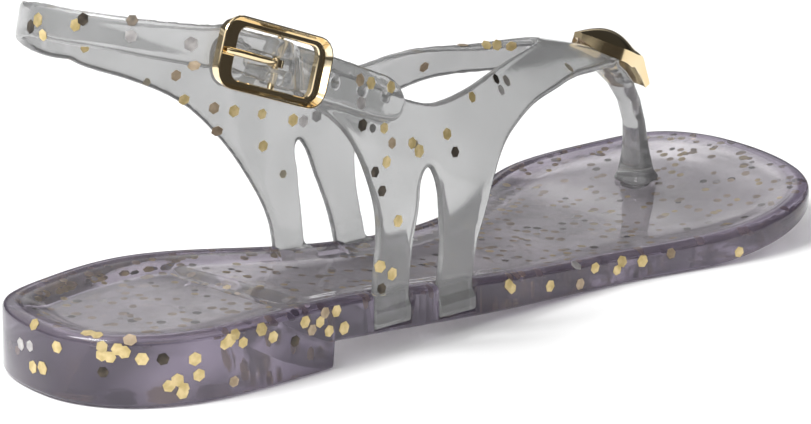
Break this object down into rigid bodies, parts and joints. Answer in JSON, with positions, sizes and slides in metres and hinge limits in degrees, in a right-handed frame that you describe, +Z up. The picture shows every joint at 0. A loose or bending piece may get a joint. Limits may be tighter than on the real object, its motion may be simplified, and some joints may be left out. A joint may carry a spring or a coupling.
{
  "type": "jelly sandal",
  "caption": "Flat moulded sandal for the right foot, with a clear one-piece upper, toe post, buckled ankle strap and metal ornament.",
  "frame": {"origin": "on the floor, under the middle of the shoe's box", "axes": "+X from heel to toe, +Y to the inner side of the right foot, +Z up from the floor"},
  "size_m": [0.248, 0.0856, 0.093],
  "materials": {
    "tinted_plastic": "clear, lilac tinted, moulded smooth, with metallic flakes inside",
    "clear_plastic": "clear, moulded smooth, with a few metallic flakes inside",
    "gold_metal": "polished pale gold plating"
  },
  "bodies": {
    "root": {"sole": "tinted_plastic", "upper": "clear_plastic", "buckle_frame": "gold_metal", "buckle_prong": "gold_metal", "ornament": "gold_metal", "ornament_rivet": "gold_metal"}
  },
  "joints": []
}
